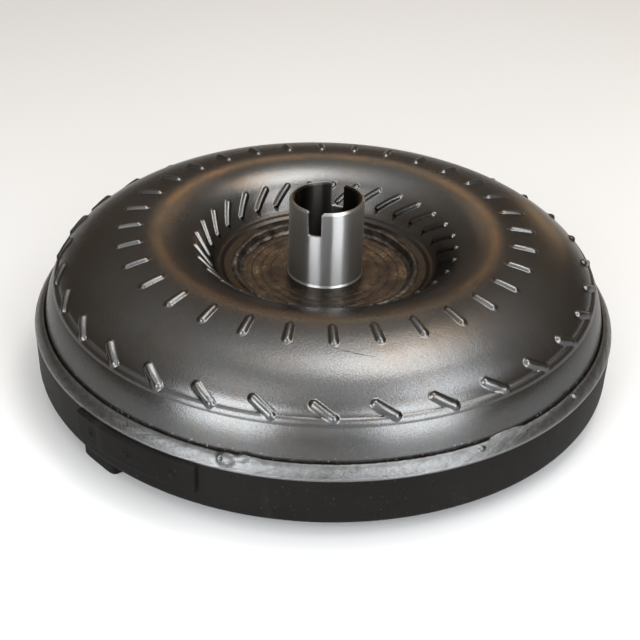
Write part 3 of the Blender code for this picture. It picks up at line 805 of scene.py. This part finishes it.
def make_balance_weight(material):
    """The curved balance strip with three projection-weld dimples."""
    low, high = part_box("balance_weight")
    inner = SKIRT_RADIUS + 0.1 * MM
    thick = 2.6 * MM
    across = 220
    rise = 44
    mesh_data = bmesh.new()
    span = WEIGHT_END - WEIGHT_START
    height = high[2] - low[2]
    width = span * (inner + thick)
    dimples = (0.16, 0.49, 0.84)

    def surface(u, v):
        edge = min(u * width, (1.0 - u) * width, v * height, (1.0 - v) * height)
        bevel = 0.8 * MM
        drop = 0.0
        if edge < bevel:
            drop = bevel - math.sqrt(max(bevel * bevel - (bevel - edge) ** 2, 0.0))
        for place in dimples:
            gap = math.hypot((u - place) * width, (v - 0.52) * height)
            drop += 0.70 * MM * math.exp(-(gap / (1.5 * MM)) ** 2)
            drop -= 0.30 * MM * math.exp(-((gap - 2.4 * MM) / (0.55 * MM)) ** 2)
        return thick - drop

    front = []
    back = []
    for i in range(across + 1):
        u = i / across
        front_row = []
        back_row = []
        for j in range(rise + 1):
            v = j / rise
            angle = WEIGHT_START + span * u
            z = low[2] + height * v
            r = inner + surface(u, v)
            front_row.append(mesh_data.verts.new((r * math.cos(angle), r * math.sin(angle), z)))
            back_row.append(mesh_data.verts.new((inner * math.cos(angle), inner * math.sin(angle), z)))
        front.append(front_row)
        back.append(back_row)
    for i in range(across):
        for j in range(rise):
            mesh_data.faces.new((front[i][j], front[i + 1][j], front[i + 1][j + 1], front[i][j + 1]))
            mesh_data.faces.new((back[i][j], back[i][j + 1], back[i + 1][j + 1], back[i + 1][j]))
        for j in (0, rise):
            mesh_data.faces.new((front[i][j], back[i][j], back[i + 1][j], front[i + 1][j]))
    for j in range(rise):
        for i in (0, across):
            mesh_data.faces.new((front[i][j], front[i][j + 1], back[i][j + 1], back[i][j]))
    return new_object("balance_strip", mesh_data, material, 50.0)


# ---------------------------------------------------------------- pump hub
def make_hub_neck(material):
    """The ground neck with its two chamfered drive slots."""
    outline = rounded_profile([
        (HUB_BORE, HUB_FLANGE_TOP - 2.0 * MM, 0.0), (HUB_RADIUS + 0.7 * MM, HUB_FLANGE_TOP - 2.0 * MM, 0.0),
        (HUB_RADIUS + 0.7 * MM, HUB_FLANGE_TOP + 0.1 * MM, 0.0),
        (HUB_RADIUS, HUB_FLANGE_TOP + 1.0 * MM, 0.6 * MM),
        (HUB_RADIUS, HUB_TOP - 1.0 * MM, 0.2 * MM), (HUB_RADIUS - 0.9 * MM, HUB_TOP, 0.2 * MM),
        (HUB_BORE + 0.7 * MM, HUB_TOP, 0.2 * MM), (HUB_BORE, HUB_TOP - 0.8 * MM, 0.2 * MM),
    ])
    neck = turned("hub_neck", outline, 192, material)
    mesh_data = bmesh.new()
    half = SLOT_WIDTH / 2.0
    floor = HUB_TOP - SLOT_DEPTH
    corner = 0.9 * MM
    mouth = 0.9 * MM
    section = [(half + mouth + 2.0 * MM, HUB_TOP + 2.0 * MM), (half, HUB_TOP - mouth)]
    for step in range(5):
        turn = math.pi / 2.0 * step / 4
        section.append((half - corner + corner * math.cos(turn), floor + corner - corner * math.sin(turn)))
    section = section + [(-x, z) for x, z in reversed(section)]
    ends = []
    for y in (-30.0 * MM, 30.0 * MM):
        ends.append([mesh_data.verts.new((x, y, z)) for x, z in section])
    mesh_data.faces.new(ends[0])
    mesh_data.faces.new(ends[1])
    for index in range(len(section)):
        after = (index + 1) % len(section)
        mesh_data.faces.new((ends[0][index], ends[0][after], ends[1][after], ends[1][index]))
    cutter = new_object("slot_cutter", mesh_data, material)
    cut = neck.modifiers.new("slots", "BOOLEAN")
    cut.operation = "DIFFERENCE"
    cut.solver = "EXACT"
    cut.object = cutter
    bpy.context.view_layer.update()
    cut_mesh = bpy.data.meshes.new_from_object(neck.evaluated_get(bpy.context.evaluated_depsgraph_get()))
    neck.modifiers.clear()
    neck.data = cut_mesh
    bpy.data.objects.remove(cutter, do_unlink=True)
    edge = neck.modifiers.new("edge", "BEVEL")
    edge.width = 0.25 * MM
    edge.segments = 2
    edge.limit_method = "ANGLE"
    edge.angle_limit = math.radians(40.0)
    cut_mesh.shade_smooth()
    cut_mesh.set_sharp_from_angle(angle=math.radians(35.0))
    return neck


def make_hub_flange(material):
    """The turned flange with shallow grooves round the neck."""
    top = HUB_FLANGE_TOP
    bottom = HUB_FLANGE_BOTTOM
    corners = [
        (HUB_BORE, bottom, 0.0), (HUB_FLANGE_RADIUS, bottom, 0.3 * MM),
        (HUB_FLANGE_RADIUS, top, 0.5 * MM),
    ]
    for groove in (38.4, 33.6, 29.0):
        corners.append(((groove + 1.0) * MM, top, 0.4 * MM))
        corners.append((groove * MM, top - 0.18 * MM, 0.5 * MM))
        corners.append(((groove - 1.0) * MM, top, 0.4 * MM))
    corners.append((HUB_RADIUS + 0.9 * MM, top, 0.2 * MM))
    corners.append((HUB_RADIUS + 0.75 * MM, top - 1.9 * MM, 0.0))
    corners.append((HUB_BORE, top - 2.1 * MM, 0.0))
    return turned("hub_flange", rounded_profile(corners), 192, material, None, 60.0)


# ---------------------------------------------------------------- scene
def make_floor():
    """A plain pale floor under the converter."""
    mesh_data = bmesh.new()
    bmesh.ops.create_circle(mesh_data, cap_ends=True, segments=96, radius=FLOOR_RADIUS)
    m = Nodes("floor_pale")
    base = m.ramp(m.noise(3.0, 2.0, 0.5), [(0.3, (0.445, 0.445, 0.445)), (0.7, (0.455, 0.455, 0.455))])
    floor = new_object("floor", mesh_data, m.finish(base, 0.42, 0.0))
    return floor


def photo_direction(azimuth, elevation):
    """The direction seen from the converter: azimuth 0 is towards the camera, positive to its right."""
    turn = math.radians(CAMERA_TURN + azimuth)
    rise = math.radians(elevation)
    return Vector((math.sin(turn) * math.cos(rise), -math.cos(turn) * math.cos(rise), math.sin(rise)))


def add_softbox(name, azimuth, elevation, distance, width, height, radiance, colour, outward=False):
    """A soft rectangular light facing the converter, or away from it; the camera does not see it."""
    light = bpy.data.lights.new(name, "AREA")
    light.shape = "RECTANGLE"
    light.size = width
    light.size_y = height
    light.energy = radiance * math.pi * width * height
    light.color = colour
    lamp = bpy.data.objects.new(name, light)
    direction = photo_direction(azimuth, elevation)
    lamp.location = direction * distance + Vector((0.0, 0.0, LAMP_AIM_HEIGHT))
    facing = Vector((direction.x, direction.y, -direction.z)) if outward else -direction
    lamp.rotation_euler = facing.to_track_quat("-Z", "Y").to_euler()
    lamp.visible_camera = False
    bpy.context.scene.collection.objects.link(lamp)
    return lamp


def make_lights():
    """Two soft boxes in front, soft light from above, small warm lamps behind, a pale background."""
    for setting in SOFTBOXES:
        add_softbox(*setting)
        if setting[3] < 1.0:
            # The near boxes shine both ways, so the floor behind them is not cut off dark.
            add_softbox(setting[0] + "_rear", *setting[1:], outward=True)
    world = bpy.data.worlds.new("studio")
    world.use_nodes = True
    tree = world.node_tree
    background = tree.nodes["Background"]
    place = tree.nodes.new("ShaderNodeTexCoord")
    split = tree.nodes.new("ShaderNodeSeparateXYZ")
    ramp = tree.nodes.new("ShaderNodeValToRGB")
    tree.links.new(place.outputs["Generated"], split.inputs[0])
    tree.links.new(split.outputs[2], ramp.inputs["Fac"])
    tree.links.new(ramp.outputs["Color"], background.inputs["Color"])
    elements = ramp.color_ramp.elements
    while len(elements) < len(SKY):
        elements.new(0.5)
    for element, (height, colour) in zip(elements, SKY):
        element.position = height
        element.color = (*colour, 1.0)
    background.inputs["Strength"].default_value = SKY_STRENGTH
    pale = tree.nodes.new("ShaderNodeBackground")
    pale.inputs["Color"].default_value = (*BACKGROUND, 1.0)
    ray = tree.nodes.new("ShaderNodeLightPath")
    choose = tree.nodes.new("ShaderNodeMixShader")
    tree.links.new(ray.outputs["Is Camera Ray"], choose.inputs["Fac"])
    tree.links.new(background.outputs[0], choose.inputs[1])
    tree.links.new(pale.outputs[0], choose.inputs[2])
    tree.links.new(choose.outputs[0], tree.nodes["World Output"].inputs["Surface"])
    bpy.context.scene.world = world


def make_camera():
    """The photograph's camera."""
    camera_data = bpy.data.cameras.new("photo_camera")
    camera_data.lens = CAMERA_LENS
    camera_data.sensor_width = 36.0
    camera = bpy.data.objects.new("photo_camera", camera_data)
    turn = math.radians(CAMERA_TURN)
    rise = math.radians(CAMERA_RISE)
    back = Vector((math.sin(turn) * math.cos(rise), -math.cos(turn) * math.cos(rise), math.sin(rise)))
    target = Vector((0.0, 0.0, CAMERA_AIM_HEIGHT))
    camera.location = target + back * CAMERA_DISTANCE
    look = (-back).to_track_quat("-Z", "Y").to_matrix().to_4x4()
    yaw = Matrix.Rotation(math.radians(CAMERA_YAW), 4, "Y")
    pitch = Matrix.Rotation(math.radians(CAMERA_PITCH), 4, "X")
    roll = Matrix.Rotation(math.radians(CAMERA_ROLL), 4, "Z")
    camera.matrix_world = Matrix.Translation(camera.location) @ look @ yaw @ pitch @ roll
    bpy.context.scene.collection.objects.link(camera)
    bpy.context.scene.camera = camera
    return camera


def main():
    """Build every piece and tie it to its CAD body."""
    shell = make_shell(shell_material())
    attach(shell, "housing")
    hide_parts("impeller_shell")

    bead = make_closure_weld(weld_material())
    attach(bead, "housing")
    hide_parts("closure_weld")
    fillet = make_hub_weld(hub_weld_material())
    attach(fillet, "housing")
    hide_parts("hub_weld")

    black = skirt_material()
    cover = make_cover(black)
    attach(cover, "housing")
    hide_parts("front_cover")
    strip = make_balance_weight(skirt_material("strip_black", 0.04))
    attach(strip, "housing")
    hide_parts("balance_weight")
    for number in (1, 2, 3):
        pad = make_lug(number, black)
        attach(pad, "housing")
        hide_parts(f"mounting_lug_{number}")

    machined = steel_material("machined_steel", (0.28, 0.28, 0.28), (0.42, 0.42, 0.42), 0.34)
    pilot = make_pilot(machined)
    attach(pilot, "housing")
    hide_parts("pilot_boss")

    neck = make_hub_neck(hub_neck_material())
    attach(neck, "housing")
    flange = make_hub_flange(hub_flange_material())
    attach(flange, "housing")
    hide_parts("pump_hub")

    finishes = {
        "plain_steel": steel_material("pressed_steel", (0.20, 0.20, 0.21), (0.36, 0.36, 0.37), 0.38),
        "ground_steel": steel_material("ground_steel_fine", (0.46, 0.45, 0.44), (0.62, 0.61, 0.60), 0.24),
        "spring_steel": steel_material("spring_steel_blue", (0.12, 0.13, 0.16), (0.24, 0.26, 0.30), 0.34),
        "cast_aluminium": cast_material(),
        "friction_paper": paper_material(),
        "bronze": bronze_material(),
    }
    slots = {entry["node"]: entry["material_slot"] for entry in frame["record"]["subparts"]}
    for name, node in frame["nodes"].items():
        if slots[name] in finishes:
            node.data.materials.clear()
            node.data.materials.append(finishes[slots[name]])

    make_floor()
    make_lights()
    make_camera()
    bpy.context.scene.view_settings.view_transform = "Standard"


main()
